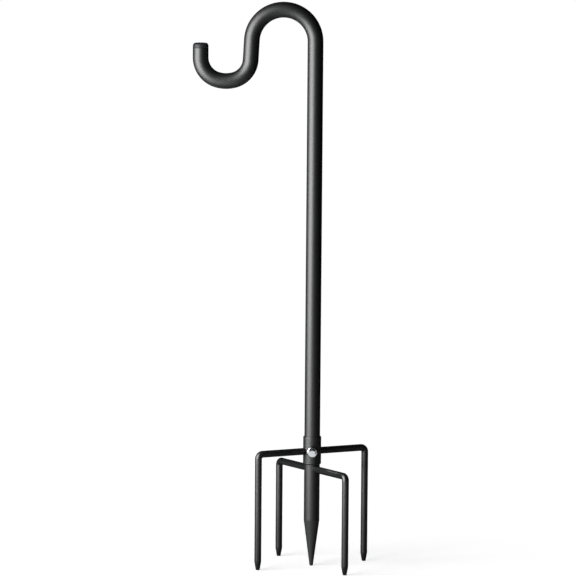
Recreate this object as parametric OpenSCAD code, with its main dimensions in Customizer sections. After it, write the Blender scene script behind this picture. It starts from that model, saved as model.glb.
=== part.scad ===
// Small shepherd's hook: a bent tube pole that plugs into a five-point ground stake.
// The origin is the flat tip of the centre spike, +Z is up and the hook reaches towards -X.

/* [Pole and hook] */
// Overall height, from the spike's tip to the top of the arch
overall_h = 575; // [430:1:900]
// Outside diameter of the pole and of the spike tube
tube_od = 16; // [14:0.5:18]
// Wall of the pole and of the spike tube
tube_wall = 1.2; // [0.8:0.1:2]
// Bend radius of the arch, on the tube's centre line
arch_r = 32.2; // [28:0.1:60]
// Angle through which the arch turns
arch_turn = 177; // [165:1:180]
// Straight run between the arch and the hook
neck_len = 20.3; // [5:0.1:60]
// Bend radius where the neck turns into the hook
throat_r = 22.5; // [18:0.5:45]
// Angle of that bend
throat_turn = 72; // [50:1:80]
// Bend radius of the flatter bottom, where the load hangs
seat_r = 32; // [20:0.5:60]
// Angle of the bottom bend
seat_turn = 30; // [10:1:50]
// Bend radius of the hook's rising lip
lip_r = 23.5; // [18:0.5:45]
// Straight steel above the lip, below the cap
lip_len = 9.2; // [2:0.1:40]

/* [Tip cap] */
// Height of the plastic cap's visible head
cap_h = 5.7; // [4:0.1:10]
// Rounding of the head's top edge
cap_round = 2.8; // [0.5:0.1:3.5]
// Length of the stem that plugs the tube
cap_stem_len = 12; // [6:0.5:20]
// Number of gripping ribs on the stem
cap_ribs = 3; // [2:1:4]

/* [Ground spike] */
// Length of the solid pointed end
point_len = 47; // [25:0.5:70]
// Diameter of its blunt tip
point_tip_d = 3.5; // [2:0.1:6]
// Length of the point's stem inside the tube
point_stem_len = 15; // [8:0.5:20]

/* [Prongs] */
// Diameter of the prong rods
prong_d = 7; // [5:0.1:8]
// Centre-line bend radius of each elbow
elbow_r = 4.6; // [4.2:0.1:12]
// Length of each sharpened end
prong_taper = 8.7; // [4:0.1:25]
// Diameter of each blunt prong tip
prong_tip_d = 3.9; // [2:0.1:4.5]
// Height of the fixed fork's bar above the ground
fixed_bar_h = 100; // [92:0.5:120]
// From the axis to the fixed fork's legs
fixed_reach = 67.2; // [50:0.1:110]
// Height of the turning fork's bars above the fixed fork's bar
bar_rise = 18.2; // [14:0.1:24]
// From the axis to the turning fork's legs
turning_reach = 62.7; // [45:0.1:105]
// Direction of the turning fork, from the hook's plane
turning_angle = 29.8; // [0:0.1:60]

/* [Fork hub] */
// Outside diameter of the hub sleeve
hub_od = 18.4; // [18.2:0.1:24]
// Length of the hub sleeve
hub_len = 28.7; // [26:0.1:40]
// Gap between the fixed fork's bar and the hub
hub_gap = 1; // [0.9:0.1:3]
// Chamfer on the hub's ends
hub_chamfer = 0.4; // [0.1:0.1:0.5]
// Where the pole meets the spike tube, above the hub's lower end
seam_h = 9.5; // [5:0.1:10.5]
// Length of the inner spigot inside the pole
spigot_grip = 26; // [20:0.5:60]
// Wall of the inner spigot
spigot_wall = 1.2; // [0.8:0.1:2]

/* [Lock bolt] */
// Thread diameter of the bolt and of its weld nut
bolt_d = 6; // [5:0.5:6]
// Length of thread that shows between the nut and the bolt's head
bolt_show = 1.45; // [0.3:0.05:6]
// Width of the hexagons across their flats
hex_af = 10; // [8:0.5:11]
// Height of the bolt's head
head_h = 4; // [3:0.1:5]
// Thickness of the weld nut
nut_h = 5; // [3:0.1:5.2]

/* [Welds and fits] */
// Leg of the fillet welds on the hub
hub_weld = 0.7; // [0.4:0.1:0.7]
// Leg of the fillet welds on the spike tube
spike_weld = 0.7; // [0.4:0.1:0.7]
// Thickness of the weld pad between the hub and the nut's back
nut_pad = 0.4; // [0.2:0.1:0.6]
// Radial clearance of sleeves and spigot
slip = 0.08; // [0.04:0.01:0.1]
// Clearance of plugs and rods in their holes
push = 0.05; // [0.02:0.01:0.1]
// Gap left where one piece rests on another of a different assembly
rest_gap = 0.3; // [0.1:0.1:0.5]

/* [Hidden] */
$fn = 96;

tube_r = tube_od / 2;
bore_r = tube_r - tube_wall;
prong_r = prong_d / 2;
hub_r = hub_od / 2;
spigot_r = bore_r - slip;
lip_turn = arch_turn - throat_turn - seat_turn; // brings the lip back to vertical
arch_z = overall_h - tube_r - arch_r;
hub_z = fixed_bar_h + prong_r + hub_gap;
seam_z = hub_z + seam_h;
bolt_z = hub_z + hub_len / 2;
turning_bar_h = fixed_bar_h + bar_rise;
fixed_angle = turning_angle - 90; // the two forks cross at right angles
spigot_z = fixed_bar_h + prong_r + rest_gap;
clamp_gap = push; // between the bolt's end and the pole
nut_y = hub_r + nut_pad; // back of the nut
head_y = nut_y + nut_h + bolt_show; // underside of the bolt's head
bolt_len = head_y - tube_r - clamp_gap; // below the head
nut_weld_inset = 0.2; // how far the weld pad stays inside the nut's flats
weld_sink = 0.2; // how deep a weld's cone starts inside the sleeve before it is cut
over = 1; // how far a cutter runs past a face
lap = 0.1; // how far a run laps over a bend
lap_turn = 0.2; // the same for the bottom bend, as an angle
bend_thin = 0.05; // a bend's radius is this much less
rib_w = 1.2;
rib_h = 0.5;
steel = "#1d1e20";
painted = "#242527";
plastic = "#2b2c2e";
zinc = "#d9dde0";

// Each stretch of the bent line draws itself, then places what follows at its end, heading along +Z.
// A run laps over the ends of the bends beside it, which are drawn a hair thinner.
module run(length, radius, before = lap, after = lap) {
    translate([0, 0, -before]) cylinder(h = before + length + after, r = radius);
    translate([0, 0, length]) children();
}

// Bend towards -X, or towards +X where both numbers are negative
module bend(turn, bend_r, radius, lap_turn = 0) {
    mirror([bend_r < 0 ? 1 : 0, 0, 0]) translate([-abs(bend_r), 0, 0]) rotate([90, 0, 0])
        rotate_extrude(angle = abs(turn) + 2 * lap_turn, start = -lap_turn)
            translate([abs(bend_r), 0]) circle(r = lap_turn > 0 ? radius : radius - bend_thin);
    end_of_bend(turn, bend_r) children();
}

module end_of_bend(turn, bend_r) {
    translate([-bend_r, 0, 0]) rotate([0, -turn, 0]) translate([bend_r, 0, 0]) children();
}

// The whole bent line of the pole as a solid bar; past makes both ends longer
module pole_bar(radius, past = 0) {
    translate([0, 0, seam_z])
        run(arch_z - seam_z, radius, past, lap) bend(arch_turn, arch_r, radius)
        run(neck_len, radius) bend(-throat_turn, -throat_r, radius)
        bend(-seat_turn, -seat_r, radius, lap_turn) bend(-lip_turn, -lip_r, radius)
        run(lip_len, radius, lap, past);
}

// Puts its children at the end of the lip, where the cap plugs in
module at_lip_end() {
    translate([0, 0, arch_z])
        end_of_bend(arch_turn, arch_r) translate([0, 0, neck_len])
        end_of_bend(-throat_turn, -throat_r) end_of_bend(-seat_turn, -seat_r)
        end_of_bend(-lip_turn, -lip_r) translate([0, 0, lip_len]) children();
}

module hook_pole() {
    color(steel) difference() {
        pole_bar(tube_r);
        pole_bar(bore_r, over);
    }
}

module tip_cap() {
    color(plastic) at_lip_end() {
        rotate_extrude() {
            square([tube_r, cap_h - cap_round]);
            square([tube_r - cap_round, cap_h]);
            translate([tube_r - cap_round, cap_h - cap_round]) circle(r = cap_round);
        }
        translate([0, 0, -cap_stem_len]) {
            cylinder(h = cap_stem_len, r = bore_r - push - rib_h);
            for (i = [0 : cap_ribs - 1])
                translate([0, 0, i * cap_stem_len / cap_ribs]) cylinder(h = rib_w, r = bore_r - push);
        }
    }
}

// Inner tube that lines up the pole and the spike tube and backs the wall under the bolt
module joint_spigot() {
    color(zinc) translate([0, 0, spigot_z]) difference() {
        spigot_len = seam_z + spigot_grip - spigot_z;
        cylinder(h = spigot_len, r = spigot_r);
        translate([0, 0, -over]) cylinder(h = spigot_len + 2 * over, r = spigot_r - spigot_wall);
    }
}

module spike_tube() {
    color(steel) difference() {
        translate([0, 0, point_len]) cylinder(h = seam_z - point_len, r = tube_r);
        translate([0, 0, point_len - over]) cylinder(h = seam_z - point_len + 2 * over, r = bore_r);
        rotate([0, 0, fixed_angle]) translate([-tube_od, 0, fixed_bar_h]) rotate([0, 90, 0])
            cylinder(h = 2 * tube_od, r = prong_r + push);
    }
}

module spike_point() {
    color(painted) {
        cylinder(h = point_len, r1 = point_tip_d / 2, r2 = tube_r);
        translate([0, 0, point_len]) cylinder(h = point_stem_len, r = bore_r - push);
    }
}

// Elbow and sharpened leg of one prong, from the end of a bar that runs along +X at the height given
module prong_leg(reach, bar_h) {
    translate([reach - elbow_r, 0, bar_h - elbow_r]) rotate([90, 0, 0])
        rotate_extrude(angle = 90) translate([elbow_r, 0]) circle(r = prong_r);
    translate([reach, 0, 0]) {
        translate([0, 0, prong_taper]) cylinder(h = bar_h - elbow_r - prong_taper, r = prong_r);
        cylinder(h = prong_taper, r1 = prong_tip_d / 2, r2 = prong_r);
    }
}

// One rod bent into a fork, through both walls of the spike tube
module fixed_fork() {
    bar_len = 2 * (fixed_reach - elbow_r);
    color(painted) rotate([0, 0, fixed_angle]) {
        translate([-bar_len / 2, 0, fixed_bar_h]) rotate([0, 90, 0]) cylinder(h = bar_len, r = prong_r);
        for (side = [0, 180]) rotate([0, 0, side]) prong_leg(fixed_reach, fixed_bar_h);
    }
}

// Ring of weld where a rod along +X meets an upright sleeve
module rod_weld(sleeve_r, bar_h, leg) {
    foot_r = prong_r + leg;
    foot_x = sqrt(sleeve_r * sleeve_r - foot_r * foot_r);
    slope = leg / (sleeve_r + leg - foot_x);
    difference() {
        translate([foot_x - weld_sink, 0, bar_h]) rotate([0, 90, 0])
            cylinder(h = sleeve_r + leg - foot_x + weld_sink, r1 = foot_r + slope * weld_sink, r2 = prong_r);
        translate([0, 0, bar_h - prong_d - leg]) cylinder(h = 2 * (prong_d + leg), r = sleeve_r);
        translate([0, 0, bar_h]) rotate([0, 90, 0]) cylinder(h = 3 * sleeve_r, r = prong_r);
    }
}

module spike_welds() {
    color(painted) for (side = [0, 180])
        rotate([0, 0, fixed_angle + side]) rod_weld(tube_r, fixed_bar_h, spike_weld);
}

// Sleeve that turns on the joint of pole and spike tube and carries the turning fork
module fork_hub() {
    color(painted) difference() {
        translate([0, 0, hub_z]) rotate_extrude() polygon([
            [tube_r + slip, 0], [hub_r - hub_chamfer, 0], [hub_r, hub_chamfer],
            [hub_r, hub_len - hub_chamfer], [hub_r - hub_chamfer, hub_len], [tube_r + slip, hub_len]]);
        translate([0, 0, bolt_z]) rotate([90, 0, 0]) cylinder(h = tube_od, r = bolt_d / 2 + push);
    }
}

// Hexagonal bar along -Y from the bolt's axis, with two corners level or upright
module hex_bar(from_y, height, upright) {
    translate([0, -from_y, bolt_z]) rotate([90, upright ? 30 : 0, 0])
        cylinder(h = height, d = hex_af / cos(30), $fn = 6);
}

module weld_nut() {
    color(painted) difference() {
        hex_bar(nut_y, nut_h, true);
        translate([0, -nut_y + over, bolt_z]) rotate([90, 0, 0]) cylinder(h = nut_h + 2 * over, r = bolt_d / 2);
    }
}

// L-shaped prong whose inner end is shaped to the hub
module hub_prong(direction) {
    color(painted) rotate([0, 0, direction]) {
        difference() {
            translate([0, 0, turning_bar_h]) rotate([0, 90, 0])
                cylinder(h = turning_reach - elbow_r, r = prong_r);
            translate([0, 0, turning_bar_h - prong_d]) cylinder(h = 2 * prong_d, r = hub_r);
        }
        prong_leg(turning_reach, turning_bar_h);
    }
}

module left_prong() { hub_prong(turning_angle + 180); }

module right_prong() { hub_prong(turning_angle); }

module hub_welds() {
    color(painted) {
        for (side = [0, 180])
            rotate([0, 0, turning_angle + side]) rod_weld(hub_r, turning_bar_h, hub_weld);
        nut_weld();
    }
}

// Weld that fills the saddle between the round hub and the flat back of the nut
module nut_weld() {
    pad_r = hex_af / 2 - nut_weld_inset;
    difference() {
        translate([0, 0, bolt_z]) rotate([90, 0, 0]) cylinder(h = nut_y, r = pad_r);
        translate([0, 0, bolt_z - hex_af]) cylinder(h = 2 * hex_af, r = hub_r);
        translate([0, 0, bolt_z]) rotate([90, 0, 0]) cylinder(h = tube_od, r = bolt_d / 2 + push);
    }
}

module lock_bolt() {
    thread_r = bolt_d / 2 - push;
    end_chamfer = bolt_d / 12;
    color(zinc) {
        translate([0, -head_y, bolt_z]) rotate([-90, 0, 0]) {
            cylinder(h = bolt_len - end_chamfer, r = thread_r);
            translate([0, 0, bolt_len - end_chamfer])
                cylinder(h = end_chamfer, r1 = thread_r, r2 = thread_r - end_chamfer);
        }
        intersection() {
            hex_bar(head_y, head_h, false);
            translate([0, -head_y, bolt_z]) rotate([90, 0, 0])
                cylinder(h = head_h, r1 = hex_af / 2 + 2 * head_h, r2 = hex_af / 2 * 0.95);
        }
    }
}

hook_pole();
tip_cap();
joint_spigot();
spike_tube();
spike_point();
fixed_fork();
spike_welds();
fork_hub();
weld_nut();
left_prong();
right_prong();
hub_welds();
lock_bolt();
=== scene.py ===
import math

import bmesh
import bpy
from mathutils import Matrix, Vector


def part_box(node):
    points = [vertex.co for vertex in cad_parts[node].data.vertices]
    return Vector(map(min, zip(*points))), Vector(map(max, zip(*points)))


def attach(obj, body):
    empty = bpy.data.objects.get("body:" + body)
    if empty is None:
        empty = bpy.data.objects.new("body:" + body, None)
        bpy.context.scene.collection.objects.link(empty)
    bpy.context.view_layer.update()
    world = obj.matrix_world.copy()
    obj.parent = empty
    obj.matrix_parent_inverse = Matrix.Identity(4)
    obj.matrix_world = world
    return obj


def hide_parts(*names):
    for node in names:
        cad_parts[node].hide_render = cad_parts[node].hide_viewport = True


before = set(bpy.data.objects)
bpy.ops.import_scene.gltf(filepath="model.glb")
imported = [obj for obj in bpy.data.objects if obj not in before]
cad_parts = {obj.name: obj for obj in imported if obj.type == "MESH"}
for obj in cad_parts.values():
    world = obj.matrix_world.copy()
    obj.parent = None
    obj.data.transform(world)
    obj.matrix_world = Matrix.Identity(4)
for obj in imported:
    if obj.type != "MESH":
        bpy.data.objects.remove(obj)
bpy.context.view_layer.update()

mm = 0.001
scene = bpy.context.scene
up = Vector((0, 0, 1))

poleLow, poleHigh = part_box("hook_pole")
capLow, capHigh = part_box("tip_cap")
spikeLow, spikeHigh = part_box("spike_tube")
hubLow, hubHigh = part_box("fork_hub")
spigotLow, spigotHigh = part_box("joint_spigot")
boltLow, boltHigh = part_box("lock_bolt")
nutLow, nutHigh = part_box("weld_nut")
boltAxisZ = (nutLow.z + nutHigh.z) / 2
print("frame loaded")


# Finishes

def hexColour(code):
    def linear(part):
        value = int(part, 16) / 255
        return value / 12.92 if value <= 0.04045 else ((value + 0.055) / 1.055) ** 2.4
    return tuple(linear(code[i:i + 2]) for i in (1, 3, 5)) + (1,)


def addNode(tree, kind, settings=None, inputs=None):
    node = tree.nodes.new(kind)
    for name, value in (settings or {}).items():
        setattr(node, name, value)
    for name, value in (inputs or {}).items():
        if isinstance(value, bpy.types.NodeSocket):
            tree.links.new(value, node.inputs[name])
        else:
            node.inputs[name].default_value = value
    return node


# Nearly all of a noise pattern lies between low and high
noise = {"low": 0.3, "high": 0.7, "patchDetail": 3, "grainDetail": 2}


# Tint, roughness and relief from noise in real sizes
def weather(tree, shader, look):
    place = addNode(tree, "ShaderNodeTexCoord").outputs["Object"]
    broad = addNode(tree, "ShaderNodeTexNoise", inputs={
        "Vector": place, "Scale": 1 / look["patch"], "Detail": noise["patchDetail"]})
    # Of the mix node's sockets, 6 and 7 take the two colours
    tint = addNode(tree, "ShaderNodeMix", {"data_type": "RGBA"}, {
        0: broad.outputs["Fac"], 6: hexColour(look["dark"]), 7: hexColour(look["light"])})
    tree.links.new(tint.outputs[2], shader.inputs["Base Color"])
    gloss = addNode(tree, "ShaderNodeMapRange", inputs={
        "Value": broad.outputs["Fac"], "From Min": noise["low"], "From Max": noise["high"],
        "To Min": look["smooth"], "To Max": look["rough"]})
    tree.links.new(gloss.outputs["Result"], shader.inputs["Roughness"])
    fine = addNode(tree, "ShaderNodeTexNoise", inputs={
        "Vector": place, "Scale": 1 / look["grain"], "Detail": noise["grainDetail"]})
    bump = addNode(tree, "ShaderNodeBump", inputs={
        "Height": fine.outputs["Fac"], "Strength": look["relief"], "Distance": look["depth"]})
    tree.links.new(bump.outputs["Normal"], shader.inputs["Normal"])


def newMaterial(name, inputs, look):
    material = bpy.data.materials.new(name)
    material.use_nodes = True
    shader = material.node_tree.nodes["Principled BSDF"]
    for socket, value in inputs.items():
        shader.inputs[socket].default_value = value
    weather(material.node_tree, shader, look)
    return material


# Black polyester powder coat, sprayed and baked: satin, its faint orange peel softens the streak
poleCoat = {"dark": "#08090a", "light": "#0c0d0e", "patch": 60 * mm, "smooth": 0.44, "rough": 0.47,
            "grain": 1.4 * mm, "relief": 0.25, "depth": 0.03 * mm}
powderCoat = newMaterial("blackPowderCoat", {"IOR": 1.6}, poleCoat)

# The same paint over hot-formed rod and welds: it flows out flatter and looks a shade greyer
stakeCoat = {"dark": "#0b0c0d", "light": "#121314", "patch": 30 * mm, "smooth": 0.32, "rough": 0.37,
             "grain": 1.1 * mm, "relief": 0.3, "depth": 0.04 * mm}
stakePaint = newMaterial("blackStakePaint", {"IOR": 1.6}, stakeCoat)

# Turned steel point, dipped in matt black enamel: flat and slightly rough, with no streak
pointCoat = {"dark": "#18191a", "light": "#202122", "patch": 12 * mm, "smooth": 0.62, "rough": 0.7,
             "grain": 0.8 * mm, "relief": 0.4, "depth": 0.05 * mm}
pointPaint = newMaterial("mattBlackEnamel", {"IOR": 1.5}, pointCoat)

# Injection-moulded black polyethylene: matt, from a finely spark-eroded mould
capSkin = {"dark": "#1a1c1d", "light": "#232526", "patch": 6 * mm, "smooth": 0.42, "rough": 0.48,
           "grain": 0.5 * mm, "relief": 0.3, "depth": 0.02 * mm}
capPlastic = newMaterial("mouldedPolyethylene", {"IOR": 1.51, "Specular IOR Level": 0.24}, capSkin)

# Bright zinc plating, clear passivated: pale metal with a slightly cloudy gloss
boltPlating = {"dark": "#cfd3d6", "light": "#dfe2e4", "patch": 3 * mm, "smooth": 0.14, "rough": 0.2,
               "grain": 0.7 * mm, "relief": 0.25, "depth": 0.02 * mm}
brightZinc = newMaterial("brightZincPlate", {"Metallic": 1.0}, boltPlating)

# Galvanised tube: duller zinc, frosted by handling
spigotSkin = {"dark": "#a4a9ad", "light": "#c3c7ca", "patch": 8 * mm, "smooth": 0.34, "rough": 0.46,
              "grain": 0.9 * mm, "relief": 0.3, "depth": 0.03 * mm}
tubeZinc = newMaterial("galvanisedTube", {"Metallic": 1.0}, spigotSkin)
print("materials made")


# Small tools for round, bent and turned metal

holding = 0.5 * mm     # distance of a holding ring from its corner
longStretch = 4        # a shorter stretch, in holding distances, gets no holding rings
tolerance = 0.01 * mm  # points closer than this are at one height or radius
seam = 0.001 * mm      # and closer than this they are one point


def onlyVerts(geom):
    return [item for item in geom if isinstance(item, bmesh.types.BMVert)]


def onlyFace(geom):
    return [item for item in geom if isinstance(item, bmesh.types.BMFace)][0]


def ringEdges(verts):
    chosen = set(verts)
    return [edge for vert in verts for edge in vert.link_edges
            if edge.verts[0] == vert and chosen.issuperset(edge.verts)]


# A line is a ring of edges that runs and bends carry along, all in the XZ plane
def startLine(bm, place, heading, radius, sides):
    turn = heading.to_track_quat("Z", "Y").to_matrix().to_4x4()
    ring = bmesh.ops.create_circle(bm, segments=sides, radius=radius,
                                   matrix=Matrix.Translation(place) @ turn)
    return {"bm": bm, "verts": ring["verts"], "place": Vector(place), "heading": Vector(heading)}


def extendLine(line, length):
    made = bmesh.ops.extrude_edge_only(line["bm"], edges=ringEdges(line["verts"]))
    line["verts"] = onlyVerts(made["geom"])
    step = line["heading"] * length
    bmesh.ops.translate(line["bm"], verts=line["verts"], vec=step)
    line["place"] = line["place"] + step


# Holding rings close to both ends keep the smooth shading of a run straight
def addRun(line, length):
    gone = 0
    for stop in (holding, length / 2, length - holding, length):
        extendLine(line, stop - gone)
        gone = stop


def addTaper(line, length, scale):
    extendLine(line, length)
    for vert in line["verts"]:
        vert.co = line["place"] + (vert.co - line["place"]) * scale


# A positive turn goes from up towards -X
def addBend(line, degrees, radius, steps):
    axis = Vector((0, -math.copysign(1, degrees), 0))
    centre = line["place"] + axis.cross(line["heading"]) * radius
    angle = math.radians(abs(degrees))
    made = bmesh.ops.spin(line["bm"], geom=line["verts"] + ringEdges(line["verts"]), cent=centre,
                          axis=axis, angle=angle, steps=steps)
    line["verts"] = onlyVerts(made["geom_last"])
    turned = Matrix.Rotation(angle, 3, axis)
    line["heading"] = turned @ line["heading"]
    line["place"] = centre + turned @ (line["place"] - centre)


# Profile of (radius, height) pairs, turned about the vertical through the origin, with holding
# rings beside the corners of its longer stretches
def lathe(bm, profile, closed=False, hold=holding, steps=72):
    corners = [Vector((radius, 0, height)) for radius, height in profile]
    places = []
    for here, there in zip(corners, corners[1:] + (corners[:1] if closed else [])):
        places.append(here)
        along = there - here
        if along.length > longStretch * hold:
            places += [here + along.normalized() * hold, there - along.normalized() * hold]
    if not closed:
        places.append(corners[-1])
    verts = [bm.verts.new(place) for place in places]
    ends = verts[1:] + (verts[:1] if closed else [])
    edges = [bm.edges.new(pair) for pair in zip(verts, ends)]
    bmesh.ops.spin(bm, geom=verts + edges, cent=(0, 0, 0), axis=up, angle=math.tau,
                   steps=steps, use_merge=True)
    bmesh.ops.remove_doubles(bm, verts=bm.verts, dist=seam)
    bmesh.ops.recalc_face_normals(bm, faces=bm.faces)


def tubeProfile(outer, inner, low, high):
    return [(outer, low), (outer, high), (inner, high), (inner, low)]


def bevelEdges(bm, edges, width, segments):
    bmesh.ops.bevel(bm, geom=edges, offset=width, offset_type="OFFSET", segments=segments,
                    profile=0.5, affect="EDGES", material=-1, clamp_overlap=False)


def roundCorners(bm, width, segments=2, overAngle=25, where=None):
    corners = [edge for edge in bm.edges if len(edge.link_faces) == 2
               and edge.calc_face_angle() > math.radians(overAngle)
               and (where is None or where(edge))]
    bevelEdges(bm, corners, width, segments)


def turnAbout(bm, verts, degrees):
    bmesh.ops.rotate(bm, cent=(0, 0, 0), matrix=Matrix.Rotation(math.radians(degrees), 3, "Z"),
                     verts=verts)


def finishPiece(bm, name, material, body, slot, *nodes, smooth=30):
    bmesh.ops.recalc_face_normals(bm, faces=bm.faces)
    mesh = bpy.data.meshes.new(name)
    bm.to_mesh(mesh)
    bm.free()
    mesh.shade_smooth()
    mesh.set_sharp_from_angle(angle=math.radians(smooth))
    mesh.materials.append(material)
    piece = bpy.data.objects.new(name, mesh)
    scene.collection.objects.link(piece)
    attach(piece, body)
    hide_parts(*nodes)


# Pole with its arch and hook

pole = {"radius": 8 * mm, "wall": 1.2 * mm, "sides": 64, "stepAngle": 3,
        "archRadius": 32.2 * mm, "archTurn": 177, "neck": 20.3 * mm,
        "throatRadius": 22.5 * mm, "throatTurn": 72, "seatRadius": 32 * mm, "seatTurn": 30,
        "lipRadius": 23.5 * mm, "lip": 9.2 * mm, "endRound": 0.2 * mm, "apart": 1 * mm}


def drawPole(bm, radius):
    line = startLine(bm, Vector((0, 0, poleLow.z)), up, radius, pole["sides"])
    start = ringEdges(line["verts"])
    archZ = poleHigh.z - pole["radius"] - pole["archRadius"]
    lipTurn = pole["archTurn"] - pole["throatTurn"] - pole["seatTurn"]
    bends = [(pole["archTurn"], pole["archRadius"]), (-pole["throatTurn"], pole["throatRadius"]),
             (-pole["seatTurn"], pole["seatRadius"]), (-lipTurn, pole["lipRadius"])]
    runs = {0: pole["neck"], 3: pole["lip"]}  # straight stretches, by the bend that they follow
    addRun(line, archZ - poleLow.z)
    for number, (degrees, bendRadius) in enumerate(bends):
        addBend(line, degrees, bendRadius, round(abs(degrees) / pole["stepAngle"]))
        if number in runs:
            addRun(line, runs[number])
    return start, ringEdges(line["verts"])


# Two rings in one plane would be joined crosswise, so the bore stands a little higher while the
# ends are closed
bm = bmesh.new()
outer = drawPole(bm, pole["radius"])
outerVerts = set(bm.verts)
bore = drawPole(bm, pole["radius"] - pole["wall"])
boreVerts = [vert for vert in bm.verts if vert not in outerVerts]
bmesh.ops.translate(bm, verts=boreVerts, vec=up * pole["apart"])
for outerEnd, boreEnd in zip(outer, bore):
    bmesh.ops.bridge_loops(bm, edges=outerEnd + boreEnd)
bmesh.ops.translate(bm, verts=boreVerts, vec=-up * pole["apart"])
bmesh.ops.recalc_face_normals(bm, faces=bm.faces)
roundCorners(bm, pole["endRound"], overAngle=60)
finishPiece(bm, "bentPole", powderCoat, "pole", "pole_coat", "hook_pole")
print("pole made")


# Plastic cap in the tip of the hook, with its crown as (radius, drop) pairs

cap = {"radius": 7.95 * mm, "head": 5.7 * mm, "round": 2.8 * mm, "roundSteps": 8,
       "crown": ((0, 0), (2 * mm, 0.02 * mm), (4 * mm, 0.12 * mm), (7.95 * mm, 0.45 * mm)),
       "stem": 12 * mm, "stemRadius": 6.25 * mm, "ribs": 3, "rib": 0.5 * mm,
       "ribWidth": 1.2 * mm, "edge": 0.25 * mm}

seatZ = capHigh.z - cap["head"]
capX = (capLow.x + capHigh.x) / 2
rim = cap["head"] - cap["crown"][-1][1]
ribRadius = cap["stemRadius"] + cap["rib"]
profile = [(radius, cap["head"] - drop) for radius, drop in cap["crown"]]
profile += [(cap["radius"], 0), (cap["stemRadius"], 0)]
for number in range(cap["ribs"]):
    ribFoot = -(number + 1) * cap["stem"] / cap["ribs"]
    ribTop = ribFoot + cap["ribWidth"]
    profile += [(cap["stemRadius"], ribTop), (ribRadius, ribTop), (ribRadius, ribFoot)]
    if number < cap["ribs"] - 1:
        profile.append((cap["stemRadius"], ribFoot))
profile.append((0, -cap["stem"]))

bm = bmesh.new()
lathe(bm, profile, hold=cap["head"])
roundCorners(bm, cap["round"], segments=cap["roundSteps"], overAngle=50,
             where=lambda edge: edge.verts[0].co.z > rim - tolerance)
roundCorners(bm, cap["edge"], overAngle=60,
             where=lambda edge: abs(edge.verts[0].co.z) < tolerance
             and abs(edge.verts[0].co.xy.length - cap["radius"]) < tolerance)
bmesh.ops.translate(bm, verts=bm.verts, vec=(capX, 0, seatZ))
finishPiece(bm, "tipPlug", capPlastic, "pole", "cap_plastic", "tip_cap")
print("cap made")


# Spike: tube, turned point and the spigot inside

spike = {"radius": 8 * mm, "wall": 1.2 * mm, "round": 0.12 * mm}
bm = bmesh.new()
lathe(bm, tubeProfile(spike["radius"], spike["radius"] - spike["wall"], spikeLow.z, spikeHigh.z),
      closed=True)
roundCorners(bm, spike["round"], overAngle=60)
finishPiece(bm, "spikeTube", powderCoat, "base", "stake_coat", "spike_tube")

point = {"tipRadius": 1.75 * mm, "tipRound": 0.4 * mm, "tipSteps": 3, "stem": 15 * mm,
         "stemRadius": 6.75 * mm}
bm = bmesh.new()
lathe(bm, [(0, 0), (point["tipRadius"], 0), (spike["radius"], spikeLow.z),
           (point["stemRadius"], spikeLow.z), (point["stemRadius"], spikeLow.z + point["stem"]),
           (0, spikeLow.z + point["stem"])])
roundCorners(bm, point["tipRound"], segments=point["tipSteps"],
             where=lambda edge: edge.verts[0].co.z < tolerance)
roundCorners(bm, spike["round"], where=lambda edge: edge.verts[0].co.z > spikeLow.z - tolerance)
finishPiece(bm, "spikePoint", pointPaint, "base", "point_coat", "spike_point")

spigot = {"radius": 6.72 * mm, "wall": 1.2 * mm, "round": 0.4 * mm}
bm = bmesh.new()
lathe(bm, tubeProfile(spigot["radius"], spigot["radius"] - spigot["wall"],
                      spigotLow.z, spigotHigh.z), closed=True)
roundCorners(bm, spigot["round"], overAngle=60)
finishPiece(bm, "jointSpigot", tubeZinc, "spigot", "spigot_zinc", "joint_spigot")
print("spike made")


# Forks: sharpened rods bent at tight elbows

prong = {"radius": 3.5 * mm, "sides": 40, "elbow": 4.6 * mm, "elbowSteps": 16,
         "taper": 8.7 * mm, "tipRadius": 1.95 * mm, "tipRound": 0.5 * mm, "tipSteps": 3,
         "turningAngle": 29.8, "turningReach": 62.7 * mm, "turningHeight": 118.2 * mm,
         "fixedAngle": 29.8 - 90, "fixedReach": 67.2 * mm, "fixedHeight": 100 * mm,
         "intoHub": 0.06 * mm}
hubRadius = 9.2 * mm


# Rod along +X from startX, down at the reach and sharpened at its end
def drawProng(bm, startX, reach, height):
    line = startLine(bm, Vector((startX, 0, height)), Vector((1, 0, 0)), prong["radius"],
                     prong["sides"])
    first = line["verts"]
    addRun(line, reach - prong["elbow"] - startX)
    addBend(line, -90, prong["elbow"], prong["elbowSteps"])
    addRun(line, height - prong["elbow"] - prong["taper"])
    addTaper(line, prong["taper"], prong["tipRadius"] / prong["radius"])
    tip = bmesh.ops.contextual_create(bm, geom=ringEdges(line["verts"]))["faces"][0]
    bevelEdges(bm, list(tip.edges), prong["tipRound"], prong["tipSteps"])
    return first


prongStart = math.sqrt(hubRadius ** 2 - prong["radius"] ** 2) - prong["intoHub"]
for name, node, side in (("rightProng", "right_prong", 0), ("leftProng", "left_prong", 180)):
    bm = bmesh.new()
    first = drawProng(bm, prongStart, prong["turningReach"], prong["turningHeight"])
    bmesh.ops.contextual_create(bm, geom=ringEdges(first))
    turnAbout(bm, bm.verts, prong["turningAngle"] + side)
    finishPiece(bm, name, stakePaint, "turning_fork", "stake_coat", node, smooth=40)

# The fixed fork is one rod, made as two halves that meet in the spike
bm = bmesh.new()
drawProng(bm, 0, prong["fixedReach"], prong["fixedHeight"])
half = list(bm.verts) + list(bm.edges) + list(bm.faces)
copied = bmesh.ops.duplicate(bm, geom=half)["geom"]
turnAbout(bm, onlyVerts(copied), 180)
bmesh.ops.remove_doubles(bm, verts=bm.verts, dist=tolerance)
turnAbout(bm, bm.verts, prong["fixedAngle"])
finishPiece(bm, "fixedFork", stakePaint, "base", "stake_coat", "fixed_fork", smooth=40)
print("forks made")


# Hub sleeve

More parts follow.
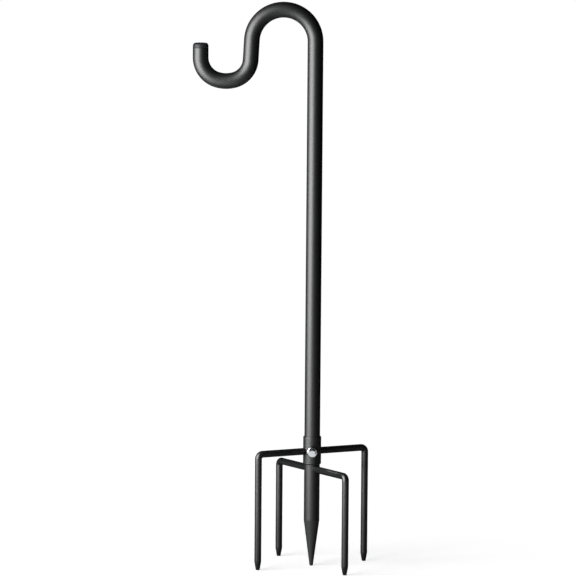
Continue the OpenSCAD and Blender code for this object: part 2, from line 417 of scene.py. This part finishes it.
hub = {"radius": hubRadius, "bore": 8.08 * mm, "topRound": 0.5 * mm, "topSteps": 4,
       "footBevel": 1 * mm}


def outerEdgeAt(height):
    return lambda edge: (abs(edge.verts[0].co.z - height) < tolerance
                         and edge.verts[0].co.xy.length > hub["radius"] - tolerance)


bm = bmesh.new()
lathe(bm, tubeProfile(hub["radius"], hub["bore"], hubLow.z, hubHigh.z), closed=True,
      hold=2 * hub["footBevel"])
roundCorners(bm, hub["topRound"], segments=hub["topSteps"], overAngle=60,
             where=outerEdgeAt(hubHigh.z))
roundCorners(bm, hub["footBevel"], segments=1, overAngle=60, where=outerEdgeAt(hubLow.z))
finishPiece(bm, "forkHub", powderCoat, "turning_fork", "stake_coat", "fork_hub")
print("hub made")


# Welds: rippled beads that follow the round sleeve, and a pad that fills up behind the nut

weld = {"bead": 0.75 * mm, "sides": 12, "steps": 136, "outside": 0.1 * mm, "sunk": 0.6 * mm,
        "ripples": 17, "rippleDepth": 0.1}


def drawBead(bm, sleeve, height, degrees):
    before = set(bm.verts)
    middle = Vector((0, 0, height))
    ringRadius = prong["radius"] + weld["outside"]
    top = Matrix.Translation(middle + up * ringRadius) @ Matrix.Rotation(math.pi / 2, 4, "X")
    ring = bmesh.ops.create_circle(bm, segments=weld["sides"], radius=weld["bead"], matrix=top)
    bmesh.ops.spin(bm, geom=ring["verts"] + ringEdges(ring["verts"]), cent=middle, axis=(1, 0, 0),
                   angle=math.tau, steps=weld["steps"], use_merge=True)
    bmesh.ops.remove_doubles(bm, verts=[v for v in bm.verts if v not in before], dist=seam)
    bead = [vert for vert in bm.verts if vert not in before]
    for vert in bead:
        angle = math.atan2(vert.co.y, vert.co.z - height)
        centre = middle + Vector((0, math.sin(angle), math.cos(angle))) * ringRadius
        swell = 1 - weld["rippleDepth"] * abs(math.sin(angle * weld["ripples"] / 2))
        vert.co = centre + (vert.co - centre) * swell
        vert.co.x += math.sqrt(max(sleeve ** 2 - vert.co.y ** 2, 0)) - weld["sunk"]
    turnAbout(bm, bead, degrees)


def addBeads(name, node, body, sleeve, height, degrees):
    bm = bmesh.new()
    for side in (0, 180):
        drawBead(bm, sleeve, height, degrees + side)
    finishPiece(bm, name, stakePaint, body, "stake_coat", node, smooth=50)


addBeads("prongWelds", "hub_welds", "turning_fork", hub["radius"], prong["turningHeight"],
         prong["turningAngle"])
addBeads("spikeWelds", "spike_welds", "base", spike["radius"], prong["fixedHeight"],
         prong["fixedAngle"])


# Tips a piece that was made upright towards the front, at the bolt's height
def layFlat(bm, frontY):
    place = Matrix.Translation((0, frontY, boltAxisZ)) @ Matrix.Rotation(math.pi / 2, 4, "X")
    bmesh.ops.transform(bm, matrix=place, verts=bm.verts)


pad = {"radius": 4.8 * mm, "bore": 3.05 * mm, "intoHub": 0.05 * mm}
nutBack = -nutHigh.y
bm = bmesh.new()
lathe(bm, tubeProfile(pad["radius"], pad["bore"], 0, nutBack), closed=True, hold=nutBack)
for vert in bm.verts:
    if vert.co.z < nutBack / 2:
        vert.co.z = math.sqrt(hub["radius"] ** 2 - vert.co.x ** 2) - pad["intoHub"]
layFlat(bm, 0)
finishPiece(bm, "nutWeld", stakePaint, "turning_fork", "stake_coat", "hub_welds")
print("welds made")


# Nut and lock bolt, both from a hexagon of one size

hexagon = {"acrossFlats": 10 * mm, "cuts": 11, "faceShare": 0.9, "chamfer": 44}


# A face raised from another, which goes, so that no wall stays inside
def raiseFace(bm, face):
    made = bmesh.ops.extrude_face_region(bm, geom=[face])["geom"]
    bmesh.ops.delete(bm, geom=[face], context="FACES_ONLY")
    return onlyFace(made)


# Six-sided block from z = 0 upwards, its flats cut into short stretches for the chamfer
def drawHexagon(bm, height, turn):
    corner = hexagon["acrossFlats"] / 2 / math.cos(math.pi / 6)
    bmesh.ops.create_circle(bm, segments=6, radius=corner, cap_ends=True,
                            matrix=Matrix.Rotation(math.radians(turn), 4, "Z"))
    bmesh.ops.subdivide_edges(bm, edges=bm.edges, cuts=hexagon["cuts"])
    bm.faces.ensure_lookup_table()
    bottom = bm.faces[0]
    top = onlyFace(bmesh.ops.extrude_face_region(bm, geom=[bottom])["geom"])
    bmesh.ops.translate(bm, verts=top.verts, vec=(0, 0, height))
    return bottom, top


# The chamfer is cut by a cone, so each flat gets its round-topped edge
def chamferFace(bm, face, height, outward):
    faceRadius = hexagon["acrossFlats"] / 2 * hexagon["faceShare"]
    slope = math.tan(math.radians(hexagon["chamfer"]))
    for vert in face.verts:
        vert.co.z = height - outward * (vert.co.xy.length - faceRadius) * slope
    face = raiseFace(bm, face)
    for vert in face.verts:
        vert.co = (vert.co.xy.normalized() * faceRadius).to_3d() + up * height
    return face


def shrinkFace(bm, face, radius, rise):
    face = raiseFace(bm, face)
    for vert in face.verts:
        vert.co = (vert.co.xy.normalized() * radius).to_3d() + up * (vert.co.z + rise)
    return face


nut = {"turn": 0, "bore": 2.95 * mm, "countersink": 3.3 * mm}
bm = bmesh.new()
nutHeight = nutHigh.y - nutLow.y
sinkDepth = nut["countersink"] - nut["bore"]
bottom, top = drawHexagon(bm, nutHeight, nut["turn"])
holeEdges = []
for face, height, outward in ((bottom, 0, -1), (top, nutHeight, 1)):
    face = chamferFace(bm, face, height, outward)
    face = shrinkFace(bm, face, nut["countersink"], 0)
    face = shrinkFace(bm, face, nut["bore"], -outward * sinkDepth)
    holeEdges += face.edges
    bmesh.ops.delete(bm, geom=[face], context="FACES_ONLY")
bmesh.ops.bridge_loops(bm, edges=holeEdges)
layFlat(bm, nutHigh.y)
finishPiece(bm, "weldNut", stakePaint, "turning_fork", "stake_coat", "weld_nut", smooth=20)

# The low boss on the bolt's face is given as (radius, height) pairs, and the thread's profile as
# shares of the pitch where it starts to rise, reaches its crest and leaves it
bolt = {"turn": 30, "headHeight": 3.4 * mm,
        "boss": ((4.2 * mm, 0.02 * mm), (2.9 * mm, 0.48 * mm), (1.4 * mm, 0.51 * mm)),
        "major": 2.95 * mm, "minor": 2.37 * mm, "pitch": 1 * mm, "profile": (0.25, 0.56, 0.69),
        "turnSteps": 32, "lead": 1.5, "spareTurns": 3, "intoHead": 0.5 * mm}


# Threaded shank, wound longer than it is and cut level at both ends
def drawThread(length):
    thread = bmesh.new()
    pitch = bolt["pitch"]
    rise, crest, leave = [share * pitch for share in bolt["profile"]]
    profile = [(bolt["minor"], 0), (bolt["minor"], rise), (bolt["major"], crest),
               (bolt["major"], leave), (bolt["minor"], pitch)]
    verts = [thread.verts.new((radius, 0, height)) for radius, height in profile]
    edges = [thread.edges.new(pair) for pair in zip(verts, verts[1:])]
    turns = math.ceil(length / pitch) + bolt["spareTurns"]
    bmesh.ops.spin(thread, geom=verts + edges, cent=(0, 0, 0), axis=up,
                   dvec=(0, 0, pitch / bolt["turnSteps"]), angle=math.tau * turns,
                   steps=turns * bolt["turnSteps"])
    bmesh.ops.remove_doubles(thread, verts=thread.verts, dist=seam)
    start = bolt["lead"] * pitch
    for height, side in ((start, -1), (start + length + bolt["intoHead"], 1)):
        everything = list(thread.verts) + list(thread.edges) + list(thread.faces)
        bmesh.ops.bisect_plane(thread, geom=everything, plane_co=(0, 0, height),
                               plane_no=(0, 0, side), clear_outer=True)
        bmesh.ops.remove_doubles(thread, verts=thread.verts, dist=seam)
        cut = [edge for edge in thread.edges
               if all(abs(vert.co.z - height) < seam for vert in edge.verts)]
        bmesh.ops.contextual_create(thread, geom=cut)
    bmesh.ops.recalc_face_normals(thread, faces=thread.faces)
    bmesh.ops.translate(thread, verts=thread.verts, vec=(0, 0, -start - length))
    mesh = bpy.data.meshes.new("boltThread")
    thread.to_mesh(mesh)
    thread.free()
    return mesh


bm = bmesh.new()
bossHeight = bolt["boss"][-1][1]
shankLength = boltHigh.y - boltLow.y - bolt["headHeight"] - bossHeight
top = drawHexagon(bm, bolt["headHeight"], bolt["turn"])[1]
top = chamferFace(bm, top, bolt["headHeight"], 1)
lastHeight = 0
for radius, ringHeight in bolt["boss"]:
    top = shrinkFace(bm, top, radius, ringHeight - lastHeight)
    lastHeight = ringHeight
threadMesh = drawThread(shankLength)
bm.from_mesh(threadMesh)
bpy.data.meshes.remove(threadMesh)
layFlat(bm, boltLow.y + bolt["headHeight"] + bossHeight)
finishPiece(bm, "lockBolt", brightZinc, "bolt", "bolt_zinc", "lock_bolt", smooth=20)
print("nut and bolt made")


# Camera, fitted to the photograph

view = {"place": Vector((-25.91, -3655, 612)) * mm, "down": 5.115, "roll": 0.45, "focal": 3610,
        "pictureSide": 576, "sensor": 36}

camera = bpy.data.cameras.new("camera")
camera.sensor_width = view["sensor"]
camera.lens = view["focal"] / view["pictureSide"] * view["sensor"]
cameraObject = bpy.data.objects.new("camera", camera)
scene.collection.objects.link(cameraObject)
down, roll = math.radians(view["down"]), math.radians(view["roll"])
forward = Vector((0, math.cos(down), -math.sin(down)))
level = Vector((1, 0, 0))
above = Vector((0, math.sin(down), math.cos(down)))
pictureRight = level * math.cos(roll) + above * math.sin(roll)
pictureUp = above * math.cos(roll) - level * math.sin(roll)
turn = Matrix((pictureRight, pictureUp, -forward)).transposed().to_4x4()
cameraObject.matrix_world = Matrix.Translation(view["place"]) @ turn
scene.camera = cameraObject


# Studio: white paper, one tall soft panel at the front left, black flags round the rest

studio = {"ambient": 0.3}
panel = {"distance": 0.766, "angle": -54.9, "width": 0.81, "low": 0.045, "high": 1.0,
         "glossRadiance": 10.2, "diffuseRadiance": 6.9}


# Point at an angle to the right of the camera's side, seen from the pole
def around(degrees, distance, height):
    angle = math.radians(degrees)
    return Vector((distance * math.sin(angle), -distance * math.cos(angle), height))


# The panel is two lamps in one place: its face as the gloss shows it, and its light
def addPanel(name, radiance):
    height = panel["high"] - panel["low"]
    middleZ = (panel["low"] + panel["high"]) / 2
    light = bpy.data.lights.new(name, "AREA")
    light.shape = "RECTANGLE"
    light.size, light.size_y = panel["width"], height
    light.energy = radiance * math.pi * panel["width"] * height
    lamp = bpy.data.objects.new(name, light)
    scene.collection.objects.link(lamp)
    lamp.location = around(panel["angle"], panel["distance"], middleZ)
    facing = Vector((0, 0, middleZ)) - lamp.location
    lamp.rotation_euler = facing.to_track_quat("-Z", "Y").to_euler()
    return lamp


addPanel("glossPanel", panel["glossRadiance"]).visible_diffuse = False
addPanel("softPanel", panel["diffuseRadiance"]).visible_glossy = False


# 1 for what the camera sees, directly or in a reflection or through glass, and 0 for the rest
def seenRays(tree):
    path = addNode(tree, "ShaderNodeLightPath")
    direct = addNode(tree, "ShaderNodeMath", {"operation": "MAXIMUM"}, {
        0: path.outputs["Is Camera Ray"], 1: path.outputs["Is Glossy Ray"]})
    seen = addNode(tree, "ShaderNodeMath", {"operation": "MAXIMUM"}, {
        0: direct.outputs[0], 1: path.outputs["Is Transmission Ray"]})
    return seen.outputs[0]


# The room is seen as white, and lights the object at a plain ambient level
world = bpy.data.worlds.new("studio")
scene.world = world
world.use_nodes = True
strength = addNode(world.node_tree, "ShaderNodeMapRange", inputs={
    "Value": seenRays(world.node_tree), "To Min": studio["ambient"], "To Max": 1.0})
background = world.node_tree.nodes["Background"]
background.inputs["Color"].default_value = hexColour("#ffffff")
world.node_tree.links.new(strength.outputs["Result"], background.inputs["Strength"])


def emptyMaterial(name):
    material = bpy.data.materials.new(name)
    material.use_nodes = True
    material.node_tree.nodes.clear()
    return material, material.node_tree


def mattMaterial(name, colour):
    material, tree = emptyMaterial(name)
    surface = addNode(tree, "ShaderNodeBsdfDiffuse", inputs={"Color": hexColour(colour)})
    addNode(tree, "ShaderNodeOutputMaterial", inputs={"Surface": surface.outputs[0]})
    return material


def glowMaterial(name, strength):
    material, tree = emptyMaterial(name)
    light = addNode(tree, "ShaderNodeEmission", inputs={"Strength": strength})
    addNode(tree, "ShaderNodeOutputMaterial", inputs={"Surface": light.outputs[0]})
    return material


def stagePiece(bm, name, material, onlyReflected=True):
    mesh = bpy.data.meshes.new(name)
    bm.to_mesh(mesh)
    bm.free()
    mesh.materials.append(material)
    piece = bpy.data.objects.new(name, mesh)
    scene.collection.objects.link(piece)
    if onlyReflected:
        piece.visible_camera = False
        piece.visible_diffuse = False
        piece.visible_transmission = False
        piece.visible_shadow = False


# Seamless white paper. The lamp gives less to its sides than an even sheet of light would: the
# loss was measured on a grey floor.
paper = {"side": 60, "white": 1.02, "colour": "#c8c8c8", "shine": 0.58, "sideLoss": 2.28}


# What the panel gives a level sheet: one term for each of its edges, as in the usual formula for
# a polygon of light
def panelGives(tree):
    point = addNode(tree, "ShaderNodeTexCoord").outputs["Object"]
    along = around(panel["angle"] + 90, panel["width"] / 2, 0)
    below = around(panel["angle"], panel["distance"], 0)
    corners = [below + along * side + up * height for side, height in (
        (-1, panel["low"]), (1, panel["low"]), (1, panel["high"]), (-1, panel["high"]))]
    rays = []
    for corner in corners:
        ray = addNode(tree, "ShaderNodeVectorMath", {"operation": "SUBTRACT"}, {
            0: corner, 1: point})
        ray = addNode(tree, "ShaderNodeVectorMath", {"operation": "NORMALIZE"}, {
            0: ray.outputs[0]})
        rays.append(ray.outputs[0])
    total = 0.0
    for ray, nextRay in zip(rays, rays[1:] + rays[:1]):
        product = addNode(tree, "ShaderNodeVectorMath", {"operation": "DOT_PRODUCT"}, {
            0: ray, 1: nextRay})
        angle = addNode(tree, "ShaderNodeMath", {"operation": "ARCCOSINE"}, {
            0: product.outputs["Value"]})
        across = addNode(tree, "ShaderNodeVectorMath", {"operation": "CROSS_PRODUCT"}, {
            0: ray, 1: nextRay})
        across = addNode(tree, "ShaderNodeVectorMath", {"operation": "NORMALIZE"}, {
            0: across.outputs[0]})
        rise = addNode(tree, "ShaderNodeSeparateXYZ", inputs={0: across.outputs[0]})
        total = addNode(tree, "ShaderNodeMath", {"operation": "MULTIPLY_ADD"}, {
            0: angle.outputs[0], 1: rise.outputs["Z"], 2: total}).outputs[0]
    share = addNode(tree, "ShaderNodeMath", {"operation": "DIVIDE"}, {
        0: total, 1: math.tau}).outputs[0]
    kept = addNode(tree, "ShaderNodeMath", {"operation": "MULTIPLY_ADD"}, {
        0: share, 1: -paper["sideLoss"], 2: 1.0})
    given = addNode(tree, "ShaderNodeMath", {"operation": "MULTIPLY"}, {
        0: share, 1: kept.outputs[0]})
    lit = addNode(tree, "ShaderNodeMath", {"operation": "MULTIPLY"}, {
        0: given.outputs[0], 1: panel["diffuseRadiance"]})
    return addNode(tree, "ShaderNodeMath", {"operation": "MAXIMUM"}, {
        0: lit.outputs[0], 1: 0.0}).outputs[0]


# Its glow makes up for the light that falls off, and its diffuse part takes the shadows
def paperMaterial(name):
    material, tree = emptyMaterial(name)
    grey = hexColour(paper["colour"])[0]
    surface = addNode(tree, "ShaderNodeBsdfDiffuse", inputs={"Color": hexColour(paper["colour"])})
    lit = panelGives(tree)
    missing = addNode(tree, "ShaderNodeMath", {"operation": "MULTIPLY_ADD"}, {
        0: lit, 1: -grey, 2: paper["white"] - grey * studio["ambient"]})
    glow = addNode(tree, "ShaderNodeMath", {"operation": "MAXIMUM"}, {
        0: missing.outputs[0], 1: 0.0})
    plain = addNode(tree, "ShaderNodeMath", {"operation": "MULTIPLY"}, {
        0: seenRays(tree), 1: glow.outputs[0]})
    # Reflections also show how much brighter the paper is near the panel
    gloss = addNode(tree, "ShaderNodeLightPath").outputs["Is Glossy Ray"]
    shine = addNode(tree, "ShaderNodeMath", {"operation": "MULTIPLY"}, {0: lit, 1: paper["shine"]})
    level = addNode(tree, "ShaderNodeMath", {"operation": "MULTIPLY_ADD"}, {
        0: gloss, 1: shine.outputs[0], 2: plain.outputs[0]})
    light = addNode(tree, "ShaderNodeEmission", inputs={"Strength": level.outputs[0]})
    both = addNode(tree, "ShaderNodeAddShader", inputs={
        0: light.outputs[0], 1: surface.outputs[0]})
    addNode(tree, "ShaderNodeOutputMaterial", inputs={"Surface": both.outputs[0]})
    return material


bm = bmesh.new()
bmesh.ops.create_grid(bm, x_segments=1, y_segments=1, size=paper["side"] / 2)
stagePiece(bm, "floor", paperMaterial("whitePaper"), onlyReflected=False)

# Black flags, seen only in reflections: they keep the sides and the edges of the tube dark
flags = {"radius": 0.45, "height": 1.3, "firstAngle": -25, "lastAngle": 274, "steps": 48,
         "colour": "#0a0a0a"}
bm = bmesh.new()
wall = [bm.verts.new(around(flags["firstAngle"], flags["radius"], height))
        for height in (0, flags["height"])]
edge = bm.edges.new(wall)
bmesh.ops.spin(bm, geom=wall + [edge], cent=(0, 0, 0), axis=up, steps=flags["steps"],
               angle=math.radians(flags["lastAngle"] - flags["firstAngle"]))
bmesh.ops.create_circle(bm, segments=flags["steps"], radius=flags["radius"], cap_ends=True,
                        matrix=Matrix.Translation((0, 0, flags["height"])))
stagePiece(bm, "blackFlags", mattMaterial("blackVelvet", flags["colour"]))

# Grey card under the stand, also only in reflections: undersides stay darker than the paper
greyCard = {"radius": 0.4, "height": 0.5 * mm, "steps": 48, "colour": "#606060"}
bm = bmesh.new()
bmesh.ops.create_circle(bm, segments=greyCard["steps"], radius=greyCard["radius"], cap_ends=True,
                        matrix=Matrix.Translation((0, 0, greyCard["height"])))
stagePiece(bm, "greyCard", mattMaterial("greyCard", greyCard["colour"]))

# Glowing card low in front, seen only in reflections, standing in for a white card held up to
# bright metal:
# it puts a painted highlight on the bolt's face, the only face that looks straight at it
highlightCard = {"firstAngle": -25, "lastAngle": 20, "steps": 8, "near": 0.13, "far": 0.43,
             "low": 0.001, "high": 0.125, "glow": 0.92}
bm = bmesh.new()
bend = [bm.verts.new(around(highlightCard["firstAngle"], highlightCard[radius], highlightCard[height]))
        for radius, height in (("near", "low"), ("far", "low"), ("far", "high"))]
edges = [bm.edges.new(pair) for pair in zip(bend, bend[1:])]
bmesh.ops.spin(bm, geom=bend + edges, cent=(0, 0, 0), axis=up, steps=highlightCard["steps"],
               angle=math.radians(highlightCard["lastAngle"] - highlightCard["firstAngle"]))
stagePiece(bm, "highlightCard", glowMaterial("highlightCard", highlightCard["glow"]))

scene.view_settings.view_transform = "Standard"
print("camera and studio made")
